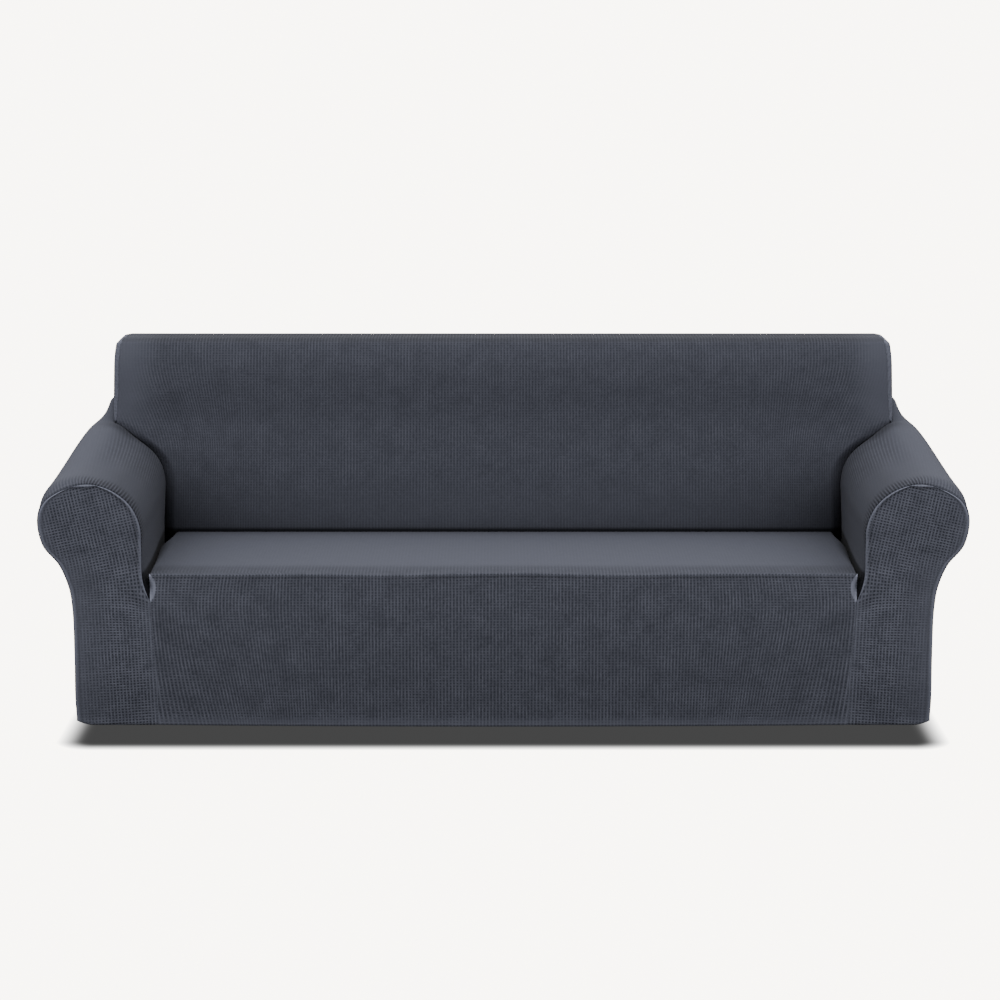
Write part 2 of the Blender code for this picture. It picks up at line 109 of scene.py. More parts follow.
FLARE_RISE = 0.5
TOP_TURN = 0.1
REAR_TURN = 0.6
ARM_FRONT_Y = 0.0023
ARM_REAR_Y = DEPTH - ARM_FRONT_Y
CREASE_DIVE = 0.022
CREASE_WIDTH = 0.032
CREASE_BITE = 0.008
BITE_SHARE = 0.06
CREASE_FADE_ROW = 4.5
TUCK_FOLLOWS = 0.4
SEAT_DIVE = 0.016
CORNER_DIVE = 0.040
CORNER_START_Y = 0.320
ROLL_OFF_LENGTH = 0.050
EDGE_LAP = 0.006
NOTCH_TURN = 0.007
NOTCH_TURN_WIDTH = 0.014
NOTCH_LENGTH = 0.012

# The frame's zero, seen from the floor under the apron.
APRON_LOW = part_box("seat_apron")[0]
ORIGIN = np.array([0.0, -APRON_LOW.y, HEM_HEIGHT - APRON_SAG - APRON_LOW.z])

# The roll of an arm at three places along it, for the arm on the +X side.
RollRow = namedtuple("RollRow", "place front_x front_z full_x full_z crease_x crease_z")
ROLL = (
    RollRow("seat crease", 0.813, 0.328, 0.8195, 0.372, 0.840, 0.372),
    RollRow("inner low", 0.829, 0.380, 0.829, 0.412, 0.840, 0.418),
    RollRow("inner middle", 0.831, 0.450, 0.832, 0.462, 0.8385, 0.470),
    RollRow("inner top", 0.8335, 0.505, 0.834, 0.511, 0.838, 0.518),
    RollRow("inner shoulder", 0.853, 0.550, 0.850, 0.554, 0.847, 0.556),
    RollRow("inner crown", 0.893, 0.585, 0.888, 0.590, 0.873, 0.592),
    RollRow("crown", 0.940, 0.601, 0.938, 0.608, 0.915, 0.622),
    RollRow("valley", 0.980, 0.598, 0.989, 0.613, 0.968, 0.656),
    RollRow("outer crown", 1.020, 0.583, 1.0315, 0.6005, 1.0195, 0.6515),
    RollRow("outer shoulder", 1.049, 0.5625, 1.059, 0.5745, 1.0510, 0.6095),
    RollRow("outermost", 1.066, 0.5245, 1.0705, 0.528, 1.066, 0.545),
    RollRow("underside", 1.0555, 0.460, 1.0605, 0.465, 1.056, 0.470),
    RollRow("neck", 1.0180, 0.4135, 1.0235, 0.414, 1.024, 0.413),
    RollRow("outer top", 0.9990, 0.368, 1.0025, 0.366, 1.003, 0.362),
    RollRow("outer high", 0.9905, 0.318, 0.992, 0.300, 0.992, 0.300),
    RollRow("outer middle", 0.9880, 0.200, 0.989, 0.200, 0.989, 0.200),
    RollRow("outer low", 0.9880, 0.090, 0.988, 0.090, 0.988, 0.090),
    RollRow("hem", 0.9850, 0.039, 0.985, 0.039, 0.985, 0.039),
)
VALLEY = 7
HEM = len(ROLL) - 1
# The same rows from the valley on, at the cover's rear corner.
EndRow = namedtuple("EndRow", "x z")
ROLL_END = (
    EndRow(0.985, 0.699),
    EndRow(1.006, 0.660),
    EndRow(1.038, 0.614),
    EndRow(1.056, 0.545),
    EndRow(1.048, 0.470),
    EndRow(1.018, 0.415),
    EndRow(0.998, 0.362),
    EndRow(0.990, 0.300),
    EndRow(0.987, 0.200),
    EndRow(0.985, 0.090),
    EndRow(0.982, 0.039),
)

# The arm front's threads, each from a place on its inner side to one on its outer side.
# A place below 0 is on the seam with the apron, as a share of the way down from the notch to the hem.
FrontRow = namedtuple("FrontRow", "inner outer")
FRONT_ROWS = (
    FrontRow(-1.0, 17),
    FrontRow(-0.72, 16),
    FrontRow(-0.36, 15),
    FrontRow(-0.10, 14.2),
    FrontRow(0, 13.6),
    FrontRow(1, 12.6),
    FrontRow(2, 11.6),
    FrontRow(3, 10.8),
    FrontRow(3.6, 10.1),
    FrontRow(4.2, 9.5),
    FrontRow(4.8, 8.9),
    FrontRow(5.3, 8.2),
    FrontRow(5.8, 7.3),
)

# The back from its tuck behind the seat to the seam on its top, as a section across it.
BackRow = namedtuple("BackRow", "place y z")
BACK = (
    BackRow("tuck", 0.5965, BACK_TUCK_Z),
    BackRow("lowest", 0.5925, 0.385),
    BackRow("lower", 0.5980, 0.418),
    BackRow("middle", 0.6140, 0.500),
    BackRow("upper", 0.6500, 0.650),
    BackRow("under the edge", 0.6940, 0.830),
    BackRow("edge", *BACK_CORNER),
    BackRow("top front", 0.7200, TOP_HEIGHT),
    BackRow("top", 0.8000, TOP_HEIGHT + 0.0005),
    BackRow("rear seam", REAR_SEAM_Y, TOP_HEIGHT),
)
# The last row of the back's face.
BACK_EDGE = 6

# How far from the arm the seat's cloth starts to go down: in front, and behind on either side.
ROLL_OFF_FRONT = 0.008
ROLL_OFF_REAR = (0.036, 0.030)

# Soft folds, each a line between two places with its depth (up is above 0) and half width.
Fold = namedtuple("Fold", "from_a from_b to_a to_b depth width")
BACK_FOLDS = (
    Fold(-0.93, 0.70, -0.66, 0.78, 0.0016, 0.022),
    Fold(-0.90, 0.66, -0.60, 0.66, -0.0014, 0.026),
    Fold(-0.86, 0.60, -0.62, 0.55, 0.0012, 0.024),
    Fold(0.92, 0.69, 0.62, 0.76, 0.0014, 0.024),
    Fold(0.90, 0.65, 0.66, 0.64, -0.0012, 0.024),
    Fold(0.86, 0.59, 0.58, 0.56, 0.0012, 0.022),
    Fold(-0.35, 0.46, 0.30, 0.50, -0.0010, 0.050),
)
APRON_FOLDS = (
    Fold(-0.80, 0.320, -0.60, 0.19, 0.0015, 0.020),
    Fold(-0.79, 0.26, -0.66, 0.10, -0.0012, 0.022),
    Fold(0.80, 0.320, 0.62, 0.20, 0.0014, 0.020),
    Fold(0.79, 0.25, 0.68, 0.09, -0.0012, 0.022),
)
ARM_FRONT_FOLDS = (
    Fold(0.820, 0.335, 0.900, 0.395, 0.0016, 0.012),
    Fold(0.822, 0.318, 0.930, 0.330, -0.0014, 0.014),
    Fold(0.835, 0.400, 0.930, 0.450, -0.0010, 0.018),
)
# Painted shade along the rows of ROLL: the arm's cloth is painted darker on its inner side, which lies
# in the arm's own shade.
ARM_SHADE_ROWS = (0, 2, 3, 4, 5, 6, 7, 9, 17)
ARM_SHADES = (0.66, 0.70, 0.66, 0.60, 0.60, 0.73, 0.88, 1.0, 0.97)
# The seat's front edge rises and falls a little along its length.
Wave = namedtuple("Wave", "x rise width")
EDGE_WAVES = (
    Wave(-0.62, -0.0012, 0.12),
    Wave(-0.27, -0.0026, 0.09),
    Wave(0.03, 0.0022, 0.12),
    Wave(0.27, -0.0022, 0.10),
    Wave(0.58, 0.0010, 0.12),
)

# The hem's turned edge: how far it stands out, over what height that starts, and how much lighter
# it is at the bottom.
HEM_RELIEF = 0.0007
HEM_STEP = 0.002
HEM_LIGHT = 0.30
# The seam's bead round an arm front: how far from the seam it is highest, and its half width.
BEAD_PLACE = 0.0045
BEAD_WIDTH = 0.0028

# The cloth's unevenness, its scale as a number to the metre: the threads' wander, the drift of the
# check's strength, the slubs in its yarn, and the fibres' fuzz, drawn coarser than real to show.
WANDER = {"Scale": 30.0, "Detail": 2.0, "Roughness": 0.6}
DRIFT = {"Scale": 22.0, "Detail": 3.0, "Roughness": 0.65}
SLUB = {"Scale": 150.0, "Detail": 2.0, "Roughness": 0.6}
FUZZ = {"Scale": 900.0, "Detail": 3.0, "Roughness": 0.7}
WANDER_REACH = 0.0016
DRIFT_RANGE = {"From Min": 0.32, "From Max": 0.68}
# How strong the check's ribs and rows are, and how softly they join.
RIBS_LEAST = 0.62
ROWS_LEAST = 0.50
CHECK_MOST = 1.12
CHECK_BLEND = 0.30
# How much slubs and fuzz add, the check's mean height, and the share of yarn colour there.
SLUB_SHARE = 0.7
FUZZ_SHARE = 0.22
CHECK_MIDDLE = 0.98
YARN_SHARE = 0.475
BUMP_STRENGTH = 0.6
# A matt knit: rough, hardly any gloss and a trace of bloom.
CLOTH_SURFACE = {
    "Roughness": 0.92,
    "Specular IOR Level": 0.05,
    "Sheen Weight": 0.02,
    "Sheen Roughness": 0.45,
}

STUDIO_REACH = 60.0
LENS = 111.6
CAMERA_PLACE = (-0.0076, -7.0, 1.7)
CAMERA_TURN = (math.radians(80.8), 0, 0)
VIEW_REACH = 300
LAMP_TURN = (math.radians(-12), 0, 0)
HORIZON = 0.04
WHITE = (1.0, 1.0, 1.0, 1.0)
# The floor's painted contact shadow: how far inside the cover's outline it starts to fade, how far the
# fade goes and how late it rises.
SHADE_INSET = (0.125, 0.008, 0)
SHADE_FADE = 0.090
SHADE_POWER = 5.0


def linear(code):
    """An sRGB hex colour as linear channels."""
    channels = [int(code[i : i + 2], 16) / 255 for i in (1, 3, 5)]
    return tuple(c / 12.92 if c <= 0.04045 else ((c + 0.055) / 1.055) ** 2.4 for c in channels)


class SlipcoverLook(bpy.types.PropertyGroup):
    """Sizes and colours of the cover's cloth."""

    thickness: bpy.props.FloatProperty(
        name="Thickness", description="Thickness of the cloth", default=0.0016, unit="LENGTH"
    )
    rib_pitch: bpy.props.FloatProperty(
        name="Rib pitch", description="Distance between the check's upright ribs",
        default=0.0078, precision=4, unit="LENGTH",
    )
    row_pitch: bpy.props.FloatProperty(
        name="Row pitch", description="Distance between the check's rows",
        default=0.0066, precision=4, unit="LENGTH",
    )
    relief: bpy.props.FloatProperty(
        name="Relief", description="Height of the check's ribs", default=0.0008,
        precision=4, unit="LENGTH",
    )
    ridge: bpy.props.FloatProperty(
        name="Seam ridge", description="Height of the seam round each arm front",
        default=0.0022, precision=4, unit="LENGTH",
    )
    hem: bpy.props.FloatProperty(
        name="Hem", description="Width of the hem's turned edge", default=0.016, unit="LENGTH"
    )
    yarn: bpy.props.FloatVectorProperty(
        name="Yarn", description="Colour of the raised ribs", subtype="COLOR", size=3,
        default=linear("#5c5e69"),
    )
    ground: bpy.props.FloatVectorProperty(
        name="Ground", description="Colour between the ribs", subtype="COLOR", size=3,
        default=linear("#282a31"),
    )


class StudioLook(bpy.types.PropertyGroup):
    """Colours and light of the studio."""

    paper: bpy.props.FloatVectorProperty(
        name="Paper", description="Colour of the floor and backdrop", subtype="COLOR", size=3,
        default=linear("#fff9ee"),
    )
    glow: bpy.props.FloatProperty(
        name="Glow", description="Brightness of the floor and backdrop", default=8.5
    )
    shade: bpy.props.FloatProperty(
        name="Shade", description="Brightness of the floor under the cover", default=0.068
    )
    overhead: bpy.props.FloatProperty(
        name="Overhead lamp", description="Strength of the soft lamp overhead", default=1.1
    )
    softness: bpy.props.FloatProperty(
        name="Softness", description="Width of the lamp overhead", subtype="ANGLE",
        default=math.radians(70),
    )
    top_light: bpy.props.FloatProperty(
        name="Top light", description="Brightness of the light straight overhead", default=2.0
    )
    side_light: bpy.props.FloatProperty(
        name="Side light", description="Brightness of the light at eye level", default=0.95
    )
    floor_light: bpy.props.FloatProperty(
        name="Floor light", description="Share of the side light that comes from below",
        default=0.12,
    )


def smooth(share):
    """0 to 1, level at both ends."""
    share = np.clip(share, 0.0, 1.0)
    return share * share * (3 - 2 * share)


def ramp(value, start, stop):
    """0 up to the value start and 1 from stop on, smooth between. start may be the higher."""
    return smooth((value - start) / (stop - start))


def bell(distance, width):
    """1 at no distance, and down to 0 over about twice the width."""
    return np.exp(-((distance / width) ** 2))


def curve(stations, values):
    """A smooth curve through the values, as a function of the station."""
    stations = np.asarray(stations, float)
    values = np.asarray(values, float)
    tangents = np.gradient(values, stations, axis=0)

    def at(places):
        places = np.asarray(places, float)
        i = np.clip(np.searchsorted(stations, places, "right") - 1, 0, len(stations) - 2)
        step = stations[i + 1] - stations[i]
        f = (places - stations[i]) / step
        if values.ndim > 1:
            step, f = step[..., None], f[..., None]
        return (
            (1 + 2 * f) * (1 - f) ** 2 * values[i]
            + f * (1 - f) ** 2 * step * tangents[i]
            + f * f * (3 - 2 * f) * values[i + 1]
            + f * f * (f - 1) * step * tangents[i + 1]
        )

    return at


def columns_of(table, *names):
    return np.array([[getattr(row, name) for name in names] for row in table])


def crease_share(rows):
    """How deep the crease is at each row, 1 on the arm's inner side and 0 from the valley on."""
    return ramp(rows, VALLEY, CREASE_FADE_ROW)


def bitten(section):
    """The crease's section moved into the arm, square to itself."""
    along = np.gradient(section, axis=0)
    into = np.stack([along[:, 1], -along[:, 0]], axis=1) / np.linalg.norm(along, axis=1)[:, None]
    bite = CREASE_BITE * crease_share(np.arange(len(section)))
    return section + bite[:, None] * into


def lengths_along(points):
    """The distance along a line of points, from its first."""
    steps = np.linalg.norm(np.diff(points, axis=0), axis=1)
    return np.concatenate([[0], np.cumsum(steps)])


FRONT = columns_of(ROLL, "front_x", "front_z")
FULL = columns_of(ROLL, "full_x", "full_z")
CREASE = columns_of(ROLL, "crease_x", "crease_z")
CREASE_EDGE = bitten(CREASE)
REAR = np.vstack([CREASE_EDGE[:VALLEY], columns_of(ROLL_END, "x", "z")])
NOTCH = FRONT[0].copy()
GIRTH = lengths_along(FULL)
BACK_SECTION = columns_of(BACK, "y", "z")
BACK_GIRTH = lengths_along(BACK_SECTION)
back_section = curve(BACK_GIRTH, BACK_SECTION)
back_face_y = curve(*BACK_SECTION[: BACK_EDGE + 1, ::-1].T)


def on_section(section, rows):
    girths = np.interp(rows, range(len(GIRTH)), GIRTH)
    return curve(GIRTH, section)(girths)


def seat_edge_z(y):
    """The height of the seat's rounded front edge at a depth y."""
    inside = np.maximum(SEAT_EDGE_RADIUS - y, 0.0)
    rise = np.sqrt(np.maximum(SEAT_EDGE_RADIUS**2 - inside**2, 0.0))
    return SEAT_HEIGHT - SEAT_EDGE_RADIUS + rise


def corner_share(y):
    """0 along most of the seat, up to 1 in its rear corners."""
    return ramp(y, CORNER_START_Y, SEAT_DEPTH)


def seat_dive(y):
    """How deep the seat's cloth goes beside the arm."""
    return SEAT_DIVE * smooth(y / ROLL_OFF_LENGTH) + (CORNER_DIVE - SEAT_DIVE) * corner_share(y)


def arm_section(share):
    """The roll's section at a share of the way from the arm front to the crease with the back."""
    y = share * back_face_y(0.5)
    fill = 1 - math.exp(-y / FILL_LENGTH)
    rise = ramp(share, RISE_START, 1)
    bite = ramp(share, 1 - BITE_SHARE, 1)
    section = FRONT + fill * (FULL - FRONT) + rise * (CREASE - FULL) + bite * (CREASE_EDGE - CREASE)
    up = 1 - math.exp(-y / NOTCH_LENGTH)
    edge_z = seat_edge_z(y) - seat_dive(y) - EDGE_LAP
    section[0, 1] = NOTCH[1] + up * (edge_z - NOTCH[1])
    return section


def crease_dive(rows):
    return SEAM_DIVE + (CREASE_DIVE - SEAM_DIVE) * crease_share(rows)


def crease_y(rows):
    """How far back the arm reaches at its crease with the back."""
    rows = np.minimum(rows, VALLEY)
    return back_face_y(on_section(CREASE_EDGE, rows)[..., 1]) + crease_dive(rows)


def hem_rise(rows, y):
    """The hem lifts a little at the front corner, where it is drawn round."""
    return HEM_CORNER_RISE * np.exp(-y / HEM_CORNER_WIDTH) * smooth(rows - HEM + 1)


def arm_column(along, rows):
    """The points of the +X arm at a share of its length: 1 is the crease, 2 the rear corner."""
    if along <= 1:
        x, z = on_section(arm_section(along), rows).T
        y = ARM_FRONT_Y + along * (crease_y(rows) - ARM_FRONT_Y)
    else:
        start = on_section(CREASE_EDGE, rows)
        x, z = (start + smooth((along - 1) / END_TURN) * (on_section(REAR, rows) - start)).T
        back_y = float(crease_y(np.array(VALLEY)))
        y = np.full(len(rows), back_y + (along - 1) * (ARM_REAR_Y - back_y))
    return np.column_stack([x, y, z + hem_rise(rows, y)])


def seat_half_width(y):
    """Where the seat meets the arm."""
    share = (y - ARM_FRONT_Y) / (float(crease_y(np.array(0))) - ARM_FRONT_Y)
    return arm_section(min(max(share, 0), 1))[0, 0] - 2 * HALF_SEAM


def apron_seam_x(z):
    """The seam of the apron with the arm front, which leans in towards the hem."""
    return APRON_SEAM_X - APRON_SEAM_LEAN * smooth((NOTCH[1] - z) / LEAN_HEIGHT)


def front_place(row):
    """The X and Z of a place on the arm front's outline."""
    if row >= 0:
        return on_section(FRONT, np.array(row))
    z = NOTCH[1] - row * (HEM_HEIGHT - NOTCH[1])
    return np.array([apron_seam_x(z) + HALF_SEAM, z])


def thread_ends(up):
    """Where an arm front's thread starts and ends, as rows of ROLL, at a share of the way up."""
    places = up * (len(FRONT_ROWS) - 1)
    return [np.interp(places, range(len(FRONT_ROWS)), ends) for ends in zip(*FRONT_ROWS)]


def arm_front_row(up, across):
    """The points of one thread of the +X arm front, from its inner to its outer side."""
    inner_row, outer_row = thread_ends(up)
    inner, outer = front_place(inner_row), front_place(outer_row)
    line = inner + across[:, None] * (outer - inner)
    if outer_row <= VALLEY + 1:
        top = on_section(FRONT, inner_row + across * (outer_row - inner_row))
        line += smooth((VALLEY + 1 - outer_row) / 0.7) * (top - line)
    crowned = np.sin(math.pi * across) ** 0.7 * math.sin(math.pi * up**0.8) ** 0.8
    near_seam = smooth(-6 * inner_row) * np.exp(-across * FRONT_WIDTH / SEAM_WIDTH)
    y = SEAM_DIVE * near_seam - FRONT_CROWN * crowned
    corner = np.maximum(across - 1 + CORNER_SHARE, 0) / CORNER_SHARE
    z = line[:, 1] + HEM_CORNER_RISE * corner**2 * smooth(1 - up * 8)
    return np.column_stack([line[:, 0], y, z])


def notch_turn(z, from_side):
    """How far the seat's front corner is turned back beside the slit, above the notch."""
    up = np.clip((z - NOTCH[1]) / (SEAT_HEIGHT - NOTCH[1]), 0, 1)
    return NOTCH_TURN * np.sin(math.pi * up) * smooth(1 - from_side / NOTCH_TURN_WIDTH)


def seat_apron_row(step, across):
    """The points of one thread of the cloth that runs from the hem up the apron and over the seat."""
    stretch, share = step
    if stretch == "apron":
        z = HEM_HEIGHT - APRON_SAG * (1 - across**2)
        z = z + share * (SEAT_HEIGHT - SEAT_EDGE_RADIUS - z)
        x = across * (apron_seam_x(z) - HALF_SEAM)
        from_side = (1 - abs(across)) * APRON_HALF_WIDTH
        sewn = smooth(1 - (z - NOTCH[1]) / NOTCH_TURN_WIDTH)
        y = SEAM_DIVE * sewn * np.exp(-from_side / SEAM_WIDTH) + notch_turn(z, from_side)
        return np.column_stack([x, y, z])
    turn = share * math.pi / 2
    tucked = 0
    if stretch == "edge":
        y = SEAT_EDGE_RADIUS * (1 - math.cos(turn))
        z = SEAT_HEIGHT - SEAT_EDGE_RADIUS * (1 - math.sin(turn))
    elif stretch == "seat":
        y = SEAT_EDGE_RADIUS + share * (SEAT_DEPTH - SEAT_EDGE_RADIUS)
        z = SEAT_HEIGHT + SEAT_CROWN * math.sin(math.pi * share)
    else:
        tucked = share
        y = SEAT_DEPTH + (SEAT_TUCK[0] - SEAT_DEPTH) * math.sin(turn)
        z = SEAT_HEIGHT - (SEAT_HEIGHT - SEAT_TUCK[1]) * (1 - math.cos(turn))
    half = seat_half_width(y)
    x = across * half
    from_arm = half - abs(x)
    rear_width = np.where(across < 0, *ROLL_OFF_REAR)
    width = ROLL_OFF_FRONT + (rear_width - ROLL_OFF_FRONT) * corner_share(y)
    below_tuck = max(CORNER_DIVE - SEAT_HEIGHT + SEAT_TUCK[1], 0)
    dive = (1 - tucked) * seat_dive(y) + tucked * below_tuck
    if stretch == "edge":
        y = y + notch_turn(z, from_arm)
    y = y + tucked * TUCK_FOLLOWS * CREASE_DIVE * smooth(1 - from_arm / CREASE_WIDTH)
    return np.column_stack([x, y + 0 * x, z - dive * smooth(1 - from_arm / width)])


def back_seam_x(z):
    """The seam up each side of the back, which turns in at the rounded top corner."""
    share = min(max(1 - (BACK_CORNER[1] - z) / BACK_CORNER_HEIGHT, 0), 1)
    return BACK_SEAM_X - BACK_CORNER_INSET * share**2


def wing_front(rise):
    """(y, z, flare) of the seam between the inside and the outside of the back. The flare
    is how much the side still spreads towards the arm there."""
    low = ROLL[VALLEY].crease_z
    z = low + rise * (BACK_CORNER[1] - low)
    return float(back_face_y(z)), z, max(1 - rise / FLARE_RISE, 0) ** 2


def inside_back_row(step, across):
    """The points of one thread of the back's front and top."""
    stretch, place = step
    width = SEAM_WIDTH
    dive = SEAM_DIVE
    if stretch == "crease":
        row = max(place, 0)
        half, z = on_section(CREASE_EDGE, np.array(row))
        z = BACK_TUCK_Z if place < 0 else z
        y = back_face_y(z)
        dive = crease_dive(row)
        width = CREASE_WIDTH
    elif stretch == "upper":
        y, z, flare = wing_front(place)
        half = back_seam_x(z) + BACK_SEAM_FLARE * flare - HALF_SEAM
    else:
        y, z = back_section(place)
        half = back_seam_x(z) - HALF_SEAM
    x = across * half
    fade = smooth(1 - (half - abs(x)) / width)
    if stretch == "top":
        fade = np.maximum(fade, smooth(1 - (REAR_SEAM_Y - y) / SEAM_WIDTH))
        return np.column_stack([x, y + 0 * x, z - dive * fade])
    return np.column_stack([x, y + dive * fade, z + 0 * x])


def rounded(distance, radius):
    """How far out a rounded edge has come at a distance in from its start, 0 to 1."""
    return np.sqrt(1 - (1 - np.minimum(distance / radius, 1)) ** 2)


def wing_row(rise, along, low):
    """The points of one thread of the outside back's +X side, from the seam to the rear corner.
    low holds the points where the side stands on the arm."""
    face_y, face_z, flare = wing_front(rise)
    top_y = BACK_CORNER[0] + along * (REAR_SEAM_Y - BACK_CORNER[0])
    top_z = BACK_CORNER[1] + (TOP_HEIGHT - BACK_CORNER[1]) * rounded(along, TOP_TURN) - SEAM_DIVE
    top_ends = np.array([BACK_CORNER, (REAR_SEAM_Y, TOP_HEIGHT)])
    front = np.array([face_y + SEAM_DIVE, face_z])
    below_top = (1 - rise) * (TOP_HEIGHT - ROLL_END[0].z)
    over = (DEPTH - REAR_SEAM_Y) * (1 - rounded(below_top, BACK_EDGE_RADIUS))
    rear = np.array([DEPTH - over, low[-1, 2] + rise * (TOP_HEIGHT - low[-1, 2])])
    along = along[:, None]
    y, z = (
        (1 - rise) * low[:, 1:]
        + rise * np.column_stack([top_y, top_z])
        + (1 - along) * front
        + along * rear
        - (1 - rise) * ((1 - along) * low[0, 1:] + along * low[-1, 1:])
        - rise * ((1 - along) * top_ends[0] + along * top_ends[1])
    ).T
    along = along[:, 0]
    seam_x = back_seam_x(face_z) + BACK_SEAM_FLARE * flare
    side_x = seam_x + BACK_HALF_WIDTH - BACK_SEAM_X
    side_x = side_x + (low[:, 0] - side_x) * flare
    span = DEPTH - face_y
    out = rounded(along * span, BACK_EDGE_RADIUS) ** (1 - flare)
    out *= rounded(below_top, BACK_TOP_RADIUS)
    out *= 1 - REAR_TURN * (1 - rounded((1 - along) * span, BACK_EDGE_RADIUS)) * (1 - flare)
    return np.column_stack([seam_x + (side_x - seam_x) * out, y, z])


def stretches(*parts):
    """Stations in several stretches, each (start, stop, count). Where two meet, they share one."""
    stations = [np.linspace(start, stop, count, endpoint=False) for start, stop, count in parts]
    return np.concatenate(stations + [[parts[-1][1]]])


def both_ways(shares):
    return np.concatenate([-shares[:0:-1], shares])


def fold_relief(a, b, folds):
    """The folds' height at places (a, b) on the cloth."""
    height = np.zeros_like(a)
    for fold in folds:
        run_a, run_b = fold.to_a - fold.from_a, fold.to_b - fold.from_b
        length = math.hypot(run_a, run_b)
        along = ((a - fold.from_a) * run_a + (b - fold.from_b) * run_b) / length**2
        aside = ((a - fold.from_a) * run_b - (b - fold.from_b) * run_a) / length
        taper = smooth(along * 4 + 0.6) * smooth((1.15 - along) * 1.4)
        height += fold.depth * taper * bell(aside, fold.width)
    return height


def shaded(distance, reach, depth):
    """Painted shade: 1 away from a crease, and less by the depth in it."""
    return 1 - depth * ramp(distance, reach, 0)


def dimmed(distance, reach, depth):
    """Painted shade as shaded gives, with a long soft tail."""
    return 1 - depth * np.exp(-np.maximum(distance, 0) / reach)


def seam_rise(edge):
    """How high the cloth stands beside the seam round an arm front, where its allowance lies."""
    return bpy.context.scene.slipcover_look.ridge * bell(edge - BEAD_PLACE, BEAD_WIDTH)


def hem_edge(z):
    """The hem's turned edge: 1 on it, and how much lighter it is, the more so the lower."""
    top = HEM_HEIGHT + bpy.context.scene.slipcover_look.hem
    hem = ramp(z, top, top - HEM_STEP)
    return hem, HEM_LIGHT * hem * ramp(z, top, HEM_HEIGHT)


def xyz(points):
    """The points' coordinates, each as a view of them."""
    return points[..., 0], points[..., 1], points[..., 2]


def lengths_up(points):
    """How far up its middle thread each point of a sheet is."""
    return lengths_along(points[len(points) // 2])[None, :] + 0 * points[..., 0]


def from_ends(x):
    """How far each point is from the end of its thread across the piece."""
    return abs(x[-1])[None, :] - abs(x)


def raised(points, height, inward):
    """The points of a sheet moved out along its normals."""
    out = np.cross(np.gradient(points, axis=0), np.gradient(points, axis=1))
    out /= np.maximum(np.linalg.norm(out, axis=2), 1e-12)[..., None]
    return points + (-1 if inward else 1) * height[..., None] * out


def sewn_cloth(name, points, threads, weave, tone, rows_show=1.0, inward=False, cut=None):
    """One piece of the cover: a grid whose corners go to points[column, row]. threads gives each
    corner's place among the cloth's threads, weave how much its check shows, the array after it how
    light each corner is, mostly painted light and shade, and rows_show how much the check's rows show
    beside its ribs."""
    columns, rows = points.shape[:2]
    grid = bmesh.new()
    bmesh.ops.create_grid(grid, x_segments=columns - 1, y_segments=rows - 1, size=0.5)
    if cut:
        middles = [(face, face.calc_center_median()) for face in grid.faces]
        gone = [
            face for face, at in middles
            if cut(int((at.x + 0.5) * (columns - 1)), int((at.y + 0.5) * (rows - 1)))
        ]
        bmesh.ops.delete(grid, geom=gone, context="FACES")
    if inward:
        bmesh.ops.reverse_faces(grid, faces=grid.faces)
    mesh = bpy.data.meshes.new(name)
    grid.to_mesh(mesh)
    grid.free()
    corners = np.empty(len(mesh.vertices) * 3)
    mesh.vertices.foreach_get("co", corners)
    corners = corners.reshape(-1, 3)[:, :2] + 0.5
    i, j = np.rint(corners * (columns - 1, rows - 1)).astype(int).T
    mesh.vertices.foreach_set("co", (points[i, j] - ORIGIN).ravel())
    loops = np.empty(len(mesh.loops), int)
    mesh.loops.foreach_get("vertex_index", loops)
    layer = mesh.uv_layers.new(name="threads")
    layer.data.foreach_set("uv", threads[i, j][loops].ravel())
    for label, values in (("weave", weave), ("tone", tone), ("rows", 0 * tone + rows_show)):
        attribute = mesh.attributes.new(label, "FLOAT", "POINT")
        attribute.data.foreach_set("value", np.ascontiguousarray(values[i, j], dtype=np.float32))
    mesh.shade_smooth()
    mesh.update()
    mesh.materials.append(jacquard())
    piece = bpy.data.objects.new(name, mesh)
    bpy.context.scene.collection.objects.link(piece)
    thick = piece.modifiers.new("cloth", "SOLIDIFY")
    thick.thickness = bpy.context.scene.slipcover_look.thickness
    thick.offset = -1
    thick.use_even_offset = True
    return piece


def mirror_x(points, side):
    return points * np.array([side, 1, 1])


def dress(piece, node):
    """Hands a finished piece to the frame."""
    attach(piece, "root")
    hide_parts(node)


def add_node(tree, kind, settings=None, inputs=None, links=None):
    """Adds a shader node with its settings, its inputs' values and the outputs linked into it. A
    whole node among the links stands for its first output."""
    node = tree.nodes.new("ShaderNode" + kind)
    for label, value in (settings or {}).items():
        setattr(node, label, value)
    for label, value in (inputs or {}).items():
        node.inputs[label].default_value = value
    for label, source in (links or {}).items():
        tree.links.new(getattr(source, "outputs", [source])[0], node.inputs[label])
    return node


